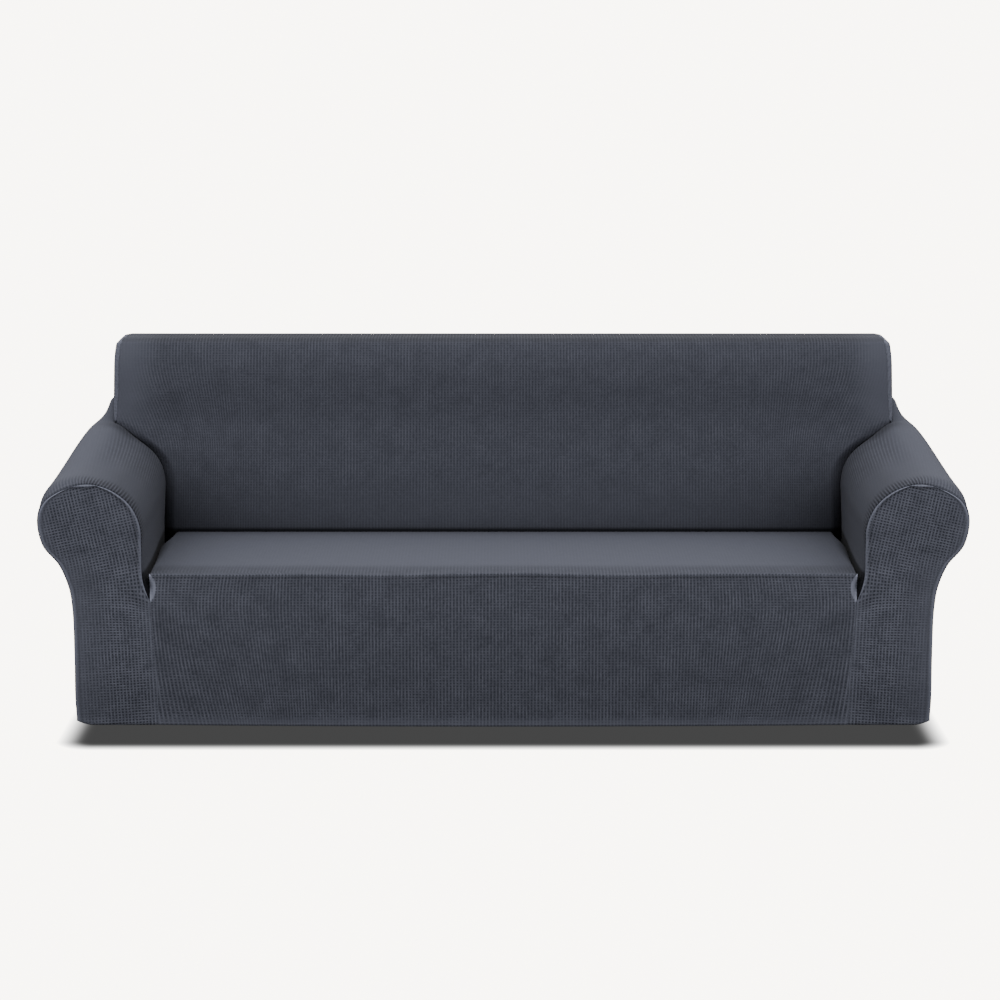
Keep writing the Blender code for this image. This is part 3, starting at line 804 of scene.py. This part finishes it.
def jacquard():
    """Stretch jacquard of polyester and elastane, knitted in a small raised check. It gives the eye
    a matt cloth with a grid of light ribs and rows round dark cells, and a soft bloom of fibres."""
    made = bpy.data.materials.get("jacquard_knit")
    if made:
        return made
    look = bpy.context.scene.slipcover_look
    cloth = bpy.data.materials.new("jacquard_knit")
    cloth.use_nodes = True
    tree = cloth.node_tree
    add = partial(add_node, tree)
    threads = add("UVMap", {"uv_map": "threads"})
    weave, tone, rows = (
        add("Attribute", {"attribute_name": label}).outputs["Fac"]
        for label in ("weave", "tone", "rows")
    )
    wander = add("TexNoise", inputs=WANDER, links={"Vector": threads})
    shifted = add(
        "VectorMath", {"operation": "MULTIPLY_ADD"}, {1: (WANDER_REACH, WANDER_REACH, 0.0)},
        {0: wander.outputs["Color"], 2: threads},
    )
    turns = add(
        "VectorMath", {"operation": "MULTIPLY"},
        {1: (2 * math.pi / look.rib_pitch, 2 * math.pi / look.row_pitch, 0.0)}, {0: shifted},
    )
    split = add("SeparateXYZ", links={"Vector": turns})
    # The ribs and rows drift in strength, as the stretch opens and closes the check.
    lines = []
    for axis, shift, least in (("X", 0.0, RIBS_LEAST), ("Y", 3.0, ROWS_LEAST)):
        turn = add("Math", {"operation": "COSINE"}, links={0: split.outputs[axis]})
        wave = add("MapRange", inputs={"From Min": -1.0, "From Max": 1.0}, links={"Value": turn})
        if axis == "Y":
            wave = add("Math", {"operation": "MULTIPLY"}, links={0: wave, 1: rows})
        place = add("VectorMath", {"operation": "ADD"}, {1: (shift, shift, 0.0)}, {0: threads})
        drift = add("TexNoise", inputs=DRIFT, links={"Vector": place})
        strength = add(
            "MapRange", inputs={**DRIFT_RANGE, "To Min": least, "To Max": CHECK_MOST},
            links={"Value": drift},
        )
        lines.append(add("Math", {"operation": "MULTIPLY"}, links={0: wave, 1: strength}))
    check = add("Math", {"operation": "SMOOTH_MAX"}, {2: CHECK_BLEND}, {0: lines[0], 1: lines[1]})
    fuzz = add("TexNoise", inputs=FUZZ, links={"Vector": threads})
    slub = add("TexNoise", inputs=SLUB, links={"Vector": threads})
    uneven = add("Math", {"operation": "MULTIPLY_ADD"}, {1: SLUB_SHARE}, {0: slub, 2: check})
    centred = add("Math", {"operation": "SUBTRACT"}, {1: CHECK_MIDDLE}, {0: uneven})
    shown = add("Math", {"operation": "MULTIPLY"}, links={0: centred, 1: weave})
    mixed = add("Math", {"operation": "MULTIPLY_ADD"}, {1: FUZZ_SHARE}, {0: fuzz, 2: shown})
    share = add("Math", {"operation": "ADD", "use_clamp": True}, {1: YARN_SHARE}, {0: mixed})
    colour = add(
        "Mix", {"data_type": "RGBA"}, {"A": (*look.ground, 1.0), "B": (*look.yarn, 1.0)},
        {"Factor": share},
    )
    # The cloth's colour is scaled by the painted light and shade that each piece carries.
    toned = add(
        "VectorMath", {"operation": "SCALE"}, links={0: colour.outputs["Result"], "Scale": tone}
    )
    bump = add(
        "Bump", inputs={"Strength": BUMP_STRENGTH, "Distance": look.relief},
        links={"Height": mixed},
    )
    shader = tree.nodes["Principled BSDF"]
    tree.links.new(toned.outputs["Vector"], shader.inputs["Base Color"])
    tree.links.new(bump.outputs["Normal"], shader.inputs["Normal"])
    for label, value in CLOTH_SURFACE.items():
        shader.inputs[label].default_value = value
    return cloth


class SLIPCOVER_OT_seat_apron(bpy.types.Operator):
    """Builds the seat and the apron below its front edge, one cloth"""

    bl_idname = "slipcover.seat_apron"
    bl_label = "Seat and apron"

    def execute(self, context):
        across = both_ways(stretches((0, 0.9, 80), (0.9, 0.975, 16), (0.975, 1, 16)))
        steps = [("apron", share) for share in stretches((0, 0.04, 3), (0.04, 1, 56))[:-1]]
        steps += [("edge", share) for share in stretches((0, 1, 14))[:-1]]
        steps += [("seat", share) for share in stretches((0, 1, 60))[:-1]]
        steps += [("tuck", share) for share in stretches((0, 1, 10))]
        points = np.stack([seat_apron_row(step, across) for step in steps], axis=1)
        x, y, z = xyz(points)
        wave = sum(w.rise * bell(x - w.x, w.width) for w in EDGE_WAVES)
        points[..., 2] += wave * ramp(z, 0.24, 0.36) * ramp(y, 0.16, 0)
        on_apron = ramp(y, 0.02, 0)
        hem, lighter = hem_edge(z)
        points = raised(points, on_apron * fold_relief(x, z, APRON_FOLDS) + HEM_RELIEF * hem, False)
        # The ribs near each corner lean in towards the hem, and a little towards the seat's edge.
        drop = np.maximum(0.33 - z, 0)
        lean = 0.24 * drop**2 / (drop + 0.12) + 1.1 * np.maximum(z - 0.30, 0) ** 2
        lean = lean * bell(abs(x) - 0.66, 0.17) * on_apron
        threads = np.stack([x + np.sign(x) * lean, lengths_up(points)], axis=-1)
        # The seat's front corner is turned back beside the slit, as a narrow lens with a painted
        # highlight.
        from_side = (1 - abs(across))[:, None] * APRON_HALF_WIDTH
        above_notch = np.clip((z - NOTCH[1]) / (SEAT_HEIGHT - NOTCH[1]), 0, 1)
        turned = ramp(0.016 * np.sin(math.pi * above_notch) ** 0.6 - from_side, 0, 0.003)
        on_seat = ramp(z, NOTCH[1], NOTCH[1] + 0.05) * ramp(y, 0.002, 0.008)
        weave = 0.85 - 0.35 * on_seat - 0.43 * ramp(y, 0.03, 0.12)
        weave = weave * (1 - 0.9 * turned * (1 - on_seat)) * (1 - 0.5 * hem)
        # Painted light and shade on the apron: darker towards the hem, a little lighter at its ends
        # and beside the notch, a painted highlight on the lens, and painted shade on the seat's
        # rounded front edge but for the lens.
        apron_shading = 0.93 + 0.24 * ramp(z, 0.06, 0.42) + 0.05 * abs(across)[:, None] ** 2
        apron_shading *= 1 + lighter + turned * (1.5 + 1.2 * ramp(from_side, 0.006, 0))
        apron_shading *= 1 + 0.16 * ramp(from_side, 0.020, 0) * ramp(z, NOTCH[1], NOTCH[1] - 0.02)
        apron_shading *= 1 - 0.32 * ramp(z, 0.383, 0.388) * (1 - turned)
        # The seat is painted darker just behind its front edge, and painted shade darkens it towards
        # the arms and the back.
        from_arm = from_ends(x)
        beside_arm = dimmed(from_arm, 0.13, 0.26 + 0.22 * ramp(y, 0, SEAT_DEPTH))
        seat_shade = 0.98 * beside_arm * shaded(from_arm, 0.008 + 0.027 * ramp(y, 0, 0.4), 0.9)
        seat_shade *= dimmed(SEAT_DEPTH - y, 0.035, 0.42) * shaded(SEAT_TUCK[0] - y, 0.018, 0.9)
        seat_shade *= 1 - 0.22 * ramp(y, 0.125, 0.070)
        tone = apron_shading + on_seat * (seat_shade - apron_shading)
        rows_show = 0.78 + 0.30 * ramp(abs(x), 0.55, 0.70) * ramp(z, 0.30, 0.36)
        piece = sewn_cloth("seat_apron_cloth", points, threads, weave, tone, rows_show)
        dress(piece, "seat_apron")
        return {"FINISHED"}


class SLIPCOVER_OT_inside_back(bpy.types.Operator):
    """Builds the front and top of the back"""

    bl_idname = "slipcover.inside_back"
    bl_label = "Inside back"

    def execute(self, context):
        across = both_ways(stretches((0, 0.9, 80), (0.9, 1, 26)))
        edge = BACK_GIRTH[BACK_EDGE]
        steps = [("crease", place) for place in [-1] + list(stretches((0, VALLEY, 54)))[:-1]]
        steps += [("upper", rise) for rise in stretches((0, 0.9, 26), (0.9, 1, 5))[:-1]]
        rear = BACK_GIRTH[-1] + REAR_LAP
        over = stretches((edge, edge + 0.04, 10), (edge + 0.04, rear, 20))
        steps += [("top", place) for place in over]
        points = np.stack([inside_back_row(step, across) for step in steps], axis=1)
        x, y, z = xyz(points)
        on_face = ramp(z, 0.83, 0.79) * ramp(z, 0.40, 0.44)
        points = raised(points, on_face * fold_relief(x, z, BACK_FOLDS), False)
        lean = 0.072 * ramp(abs(x), 0.60, 0.86) * ramp(z, 0.82, 0.56)
        threads = np.stack([x + np.sign(x) * lean, lengths_up(points)], axis=-1)
        # The sides are stretched smooth and carry painted light, and the low part and the top painted
        # shade.
        at_side = ramp(BACK_SEAM_X - abs(x), 0.12, 0.02) * ramp(z, 0.62, 0.69)
        low = ramp(z, 0.60, 0.40)
        weave = (0.62 - 0.30 * ramp(z, 0.56, 0.42)) * (1 - 0.9 * at_side)
        tone = (0.84 - 0.06 * low) * (1 + 0.30 * at_side) * (1 - 0.42 * ramp(z, 0.846, 0.854))
        tone *= dimmed(z - SEAT_HEIGHT, 0.03, 0.30) * shaded(z - SEAT_HEIGHT, 0.010, 0.85)
        # Beside the arm it is painted dark, with a painted light rim where the cloth turns into the
        # crease.
        valley_z = ROLL[VALLEY].crease_z
        in_crease = ramp(z, valley_z, valley_z - 0.05)
        to_arm = from_ends(x)
        weave *= 1 - 0.6 * in_crease * ramp(to_arm, 0.08, 0)
        tone *= 1 - in_crease * (1 - dimmed(to_arm, 0.14, 0.02 + 0.64 * low))
        tone *= 1 - in_crease * (1 - shaded(to_arm, 0.006 + 0.010 * low, 0.88))
        tone *= 1 + 0.6 * in_crease * (1 - low) * ramp(abs(to_arm - 0.017), 0.015, 0)
        piece = sewn_cloth("inside_back_cloth", points, threads, weave, tone, 0.72)
        dress(piece, "inside_back")
        return {"FINISHED"}


class SLIPCOVER_OT_outside_back(bpy.types.Operator):
    """Builds the rear panel, which wraps round both sides of the back"""

    bl_idname = "slipcover.outside_back"
    bl_label = "Outside back"

    def execute(self, context):
        wing = stretches((0, 0.02, 5), (0.02, 0.12, 9), (0.12, 0.9, 14), (0.9, 1, 8))
        shares = stretches((1, 0.9, 8), (0.9, 0, 36))[1:]
        low = np.array([arm_column(1 + along, np.array([VALLEY]))[0] for along in wing])
        lower = stretches((HEM, HEM - 0.5, 3), (HEM - 0.5, VALLEY, 46))[:-1]
        rises = stretches((0, 0.86, 20), (0.86, 1, 10))
        rows = []
        for place in lower:
            x, z = on_section(REAR, np.array(place))
            level = np.interp(place, (VALLEY, HEM), (ROLL_END[0].z, ROLL_END[-1].z))
            side = np.tile([x, DEPTH, z], (len(wing), 1))
            rear = [[x * s, DEPTH, level + (z - level) * smooth(s)] for s in shares]
            rows.append(np.vstack([side, rear]))
        for rise in rises:
            side = wing_row(rise, wing, low)
            x, y, z = side[-1]
            rear = [[x * s, y, z] for s in shares]
            rows.append(np.vstack([side, rear]))
        half = np.stack(rows, axis=1)
        points = np.concatenate([half, mirror_x(half[-2::-1], -1)])
        x, y, z = xyz(points)
        round_it = x - np.sign(x) * np.minimum(y - DEPTH, 0)
        threads = np.stack([round_it, lengths_up(points)], axis=-1)
        on_wing = ramp(y, DEPTH, DEPTH - 0.02) * ramp(abs(x), 0.93, 0.95)
        weave = 0.8 * (1 - 0.7 * on_wing)
        tone = 1 + hem_edge(z)[1] + 0.5 * on_wing
        corner = len(wing) - 1
        last = len(points) - 1
        piece = sewn_cloth(
            "outside_back_cloth", points, threads, weave, tone,
            cut=lambda i, j: j < len(lower) and not corner <= i < last - corner,
        )
        dress(piece, "outside_back")
        return {"FINISHED"}


class SLIPCOVER_OT_arms(bpy.types.Operator):
    """Builds the inner side, roll and outer side of both arms"""

    bl_idname = "slipcover.arms"
    bl_label = "Arms"

    def execute(self, context):
        along = stretches((0, 0.03, 12), (0.03, 0.94, 66), (0.94, 1, 14), (1, 2, 22))
        crease = np.searchsorted(along, 1)
        inner = stretches((0, VALLEY, 84))[:-1]
        rows = np.concatenate([inner, stretches((VALLEY, 13, 60), (13, HEM, 22))])
        half = np.stack([arm_column(place, rows) for place in along])
        x, y, z = xyz(half)
        girth = np.interp(rows, range(len(GIRTH)), GIRTH)[None, :] + 0 * y
        hem, lighter = hem_edge(z)
        behind_seam = y - ARM_FRONT_Y
        to_back = crease_y(rows)[None, :] - y
        to_seat = z - SEAT_HEIGHT
        # The check shows on the outer side, in the gathers behind the front seam and near the
        # crease. The ribs run along the arm and turn a little on the way back.
        ribbed = ramp(rows, 1.5, 2.5) * (1 - 0.6 * ramp(rows, 6.2, 7.4))
        ribbed = ribbed[None, :] * ramp(behind_seam, 0.080, 0.020)
        on_side = ramp(rows, 11.5, 13)[None, :] + 0 * y
        near_crease = ramp(y, 0.20, 0.40) * (ramp(rows, 3, 4.5) * ramp(rows, 7, 6))[None, :]
        weave = 0.05 + 0.6 * on_side + 0.9 * ribbed + 0.42 * near_crease
        slant = 0.11 * np.maximum(behind_seam - 0.10, 0) * ramp(rows, 9, 7)[None, :]
        threads = np.stack([girth - slant, behind_seam], axis=-1)
        crease_deep = crease_share(rows)[None, :]
        # Painted shade: darker on the arm's inner side, at the crease with the back, in a smudge where
        # the crease starts and beside the seat; a little darker too in the gathers behind the front
        # seam.
        tone = np.interp(rows, ARM_SHADE_ROWS, ARM_SHADES)[None, :] * (1 - 0.14 * ribbed)
        tone *= 1 + lighter
        tone *= 1 - crease_deep * (1 - dimmed(to_back, 0.05, 0.25) * shaded(to_back, 0.026, 0.85))
        tone *= 1 - 0.42 * bell(rows - 6.7, 0.7)[None, :] * bell(to_back - 0.03, 0.045)
        tone *= 1 - (1 - on_side) * (1 - dimmed(to_seat, 0.04, 0.12) * shaded(to_seat, 0.006, 0.8))
        height = seam_rise(behind_seam) * smooth(rows)[None, :] + HEM_RELIEF * hem
        for side, name in ((1, "right"), (-1, "left")):
            inward = side > 0
            points = raised(mirror_x(half, side), height, inward)
            piece = sewn_cloth(
                f"arm_{name}_cloth", points, threads, weave, tone, 0.5, inward,
                cut=lambda i, j: i >= crease and j < len(inner),
            )
            dress(piece, f"arm_{name}")
        return {"FINISHED"}


class SLIPCOVER_OT_arm_fronts(bpy.types.Operator):
    """Builds the scroll-shaped front of both arms"""

    bl_idname = "slipcover.arm_fronts"
    bl_label = "Arm fronts"

    def execute(self, context):
        across = stretches((0, 0.08, 12), (0.08, 0.92, 40), (0.92, 1, 12))
        ups = stretches((0, 0.03, 4), (0.03, 0.9, 90), (0.9, 1, 22))
        half = np.stack([arm_front_row(up, across) for up in ups], axis=1)
        x, y, z = xyz(half)
        width = np.linalg.norm(half[-1] - half[0], axis=1)
        from_inner = across[:, None] * width[None, :]
        from_outer = (1 - across)[:, None] * width[None, :]
        from_top = np.linalg.norm(half - half[:, -1:], axis=2)
        # The seam runs along the outline, but for the inner side below the notch.
        on_roll = smooth(thread_ends(ups)[0])[None, :]
        to_inner = np.where(on_roll > 0, from_inner / np.maximum(on_roll, 0.01), 1)
        edge = np.minimum(np.minimum(from_outer, to_inner), from_top)
        seam = bell(edge, 0.0058)
        hem, lighter = hem_edge(z)
        # The ribs lean with the scroll, and the rows slope and dip towards the notch.
        pulled = 0.030 * np.exp(-np.hypot(x - NOTCH[0], z - NOTCH[1]) / 0.05)
        turn = 0.06 + 0.17 * ramp(z, 0.28, 0.42)
        lean = 0.04 * z + 0.9 * np.clip(z - 0.34, 0, 0.10) ** 2 + 0.18 * np.maximum(z - 0.44, 0)
        threads = np.stack([x - lean, z + turn * (x - 0.9) + pulled], axis=-1)
        rim = ramp(from_outer, 0.035, 0)
        beside_apron = np.exp(-from_inner / 0.012) * (1 - on_roll)
        smoother = ramp(across, 0.45, 0.80)[:, None] * ramp(z, 0.47, 0.39)
        weave = (1.1 - seam) * (1 - 0.7 * rim) * (1 - 0.5 * beside_apron) * (1 - 0.4 * smoother)
        # Painted light and shade: darker low down and a little near the top, painted highlights along
        # the outer rim, beside the apron and on the seam's bead, and a painted shade line just inside
        # the bead.
        tone = 0.98 + 0.25 * ramp(z, 0.06, 0.26) - 0.07 * ramp(z, 0.40, 0.52)
        tone *= 1 + 0.20 * rim + 0.16 * beside_apron
        tone *= 1 + 0.60 * seam - 0.24 * bell(edge - 0.0105, 0.0025) + lighter
        height = fold_relief(x, z, ARM_FRONT_FOLDS) + seam_rise(edge) + HEM_RELIEF * hem
        for side, name in ((1, "right"), (-1, "left")):
            points = mirror_x(half, side)
            points[..., 1] -= height
            piece = sewn_cloth(
                f"arm_front_{name}_cloth", points, threads, weave, tone, inward=side < 0
            )
            dress(piece, f"arm_front_{name}")
        return {"FINISHED"}


class SLIPCOVER_OT_studio(bpy.types.Operator):
    """Builds the pale floor and backdrop, the soft light and the camera"""

    bl_idname = "slipcover.studio"
    bl_label = "Studio"

    def execute(self, context):
        look = context.scene.studio_look
        floor = bmesh.new()
        bmesh.ops.create_grid(floor, x_segments=1, y_segments=1, size=STUDIO_REACH)
        add_stage("studio_floor", floor, lit_floor(look))
        dome = bmesh.new()
        bmesh.ops.create_uvsphere(dome, u_segments=48, v_segments=24, radius=STUDIO_REACH)
        add_stage("backdrop", dome, lit_paper("backdrop_paper", look)[0])
        add_lamp(look)
        add_sky(look)
        lens = bpy.data.cameras.new("camera")
        lens.lens = LENS
        lens.clip_end = VIEW_REACH
        camera = bpy.data.objects.new("camera", lens)
        camera.location = np.array(CAMERA_PLACE) - ORIGIN
        camera.rotation_euler = CAMERA_TURN
        context.scene.collection.objects.link(camera)
        context.scene.camera = camera
        return {"FINISHED"}


def lit_paper(name, look):
    """White studio paper, lit evenly from behind: it gives the eye one pale tone without a horizon."""
    paper = bpy.data.materials.new(name)
    paper.use_nodes = True
    tree = paper.node_tree
    glow = add_node(tree, "Emission", inputs={"Color": (*look.paper, 1.0), "Strength": look.glow})
    tree.links.new(glow.outputs["Emission"], tree.nodes["Material Output"].inputs["Surface"])
    return paper, glow


def lit_floor(look):
    """The same paper as a floor, with a soft contact shadow painted under what stands over it."""
    floor, glow = lit_paper("floor_paper", look)
    tree = floor.node_tree
    add = partial(add_node, tree)
    place = add("TexCoord").outputs["Object"]
    low, high = (np.array(corner) for corner in CAD_BOX)
    middle = (*((low + high) / 2)[:2], -ORIGIN[2])
    half = (high - low) / 2 - SHADE_INSET
    centred = add("VectorMath", {"operation": "SUBTRACT"}, {1: middle}, {0: place})
    mirrored = add("VectorMath", {"operation": "ABSOLUTE"}, links={0: centred})
    beyond = add("VectorMath", {"operation": "SUBTRACT"}, {1: (*half[:2], 0)}, {0: mirrored})
    outside = add("VectorMath", {"operation": "MAXIMUM"}, links={0: beyond})
    distance = add("VectorMath", {"operation": "LENGTH"}, links={0: outside})
    share = add("MapRange", inputs={"From Max": SHADE_FADE}, links={0: distance.outputs["Value"]})
    rise = add("Math", {"operation": "POWER"}, {1: SHADE_POWER}, {0: share})
    strength = add(
        "MapRange", inputs={"To Min": look.shade, "To Max": look.glow}, links={"Value": rise}
    )
    colour = add(
        "Mix", {"data_type": "RGBA"}, {"A": WHITE, "B": (*look.paper, 1.0)}, {"Factor": rise}
    )
    tree.links.new(strength.outputs["Result"], glow.inputs["Strength"])
    tree.links.new(colour.outputs["Result"], glow.inputs["Color"])
    return floor


def add_stage(name, shape, material):
    """Adds a floor or backdrop at the floor's height. It shows, and sends no light to the cloth."""
    bmesh.ops.translate(shape, verts=shape.verts, vec=(0, 0, -ORIGIN[2]))
    mesh = bpy.data.meshes.new(name)
    shape.to_mesh(mesh)
    shape.free()
    mesh.materials.append(material)
    stage = bpy.data.objects.new(name, mesh)
    for ray in ("diffuse", "glossy", "transmission", "shadow"):
        setattr(stage, f"visible_{ray}", False)
    bpy.context.scene.collection.objects.link(stage)


def add_lamp(look):
    """The soft lamp overhead, leaning a little towards the camera."""
    light = bpy.data.lights.new("overhead", "SUN")
    light.energy = look.overhead
    light.angle = look.softness
    lamp = bpy.data.objects.new("overhead", light)
    lamp.rotation_euler = LAMP_TURN
    bpy.context.scene.collection.objects.link(lamp)


def add_sky(look):
    """Light from all round, brighter overhead and faint from below."""
    sky = bpy.data.worlds.new("studio")
    sky.use_nodes = True
    tree = sky.node_tree
    add = partial(add_node, tree)
    direction = add("TexCoord").outputs["Generated"]
    height = add("SeparateXYZ", links={0: direction}).outputs["Z"]
    above = add(
        "MapRange", inputs={"To Min": look.side_light, "To Max": look.top_light},
        links={"Value": height},
    )
    below = add(
        "MapRange",
        inputs={"From Min": -HORIZON, "From Max": HORIZON, "To Min": look.floor_light, "To Max": 1.0},
        links={"Value": height},
    )
    strength = add("Math", {"operation": "MULTIPLY"}, links={0: above, 1: below})
    background = tree.nodes["Background"]
    background.inputs["Color"].default_value = WHITE
    tree.links.new(strength.outputs["Value"], background.inputs["Strength"])
    bpy.context.scene.world = sky


class SLIPCOVER_PT_panel(bpy.types.Panel):
    """Lists the pieces of the cover and its sizes"""

    bl_idname = "SLIPCOVER_PT_panel"
    bl_label = "Slipcover"
    bl_space_type = "VIEW_3D"
    bl_region_type = "UI"
    bl_category = "Slipcover"

    def draw(self, context):
        for label in SlipcoverLook.__annotations__:
            self.layout.prop(context.scene.slipcover_look, label)
        for operator in OPERATORS:
            self.layout.operator(operator.bl_idname)


OPERATORS = (
    SLIPCOVER_OT_seat_apron,
    SLIPCOVER_OT_inside_back,
    SLIPCOVER_OT_outside_back,
    SLIPCOVER_OT_arms,
    SLIPCOVER_OT_arm_fronts,
    SLIPCOVER_OT_studio,
)
CLASSES = (SlipcoverLook, StudioLook, *OPERATORS, SLIPCOVER_PT_panel)


def register():
    for kind in CLASSES:
        bpy.utils.register_class(kind)
    bpy.types.Scene.slipcover_look = bpy.props.PointerProperty(type=SlipcoverLook)
    bpy.types.Scene.studio_look = bpy.props.PointerProperty(type=StudioLook)


def unregister():
    del bpy.types.Scene.studio_look
    del bpy.types.Scene.slipcover_look
    for kind in reversed(CLASSES):
        bpy.utils.unregister_class(kind)


def main():
    register()
    for operator in OPERATORS:
        getattr(bpy.ops.slipcover, operator.bl_idname.split(".")[1])()


if __name__ == "__main__":
    main()
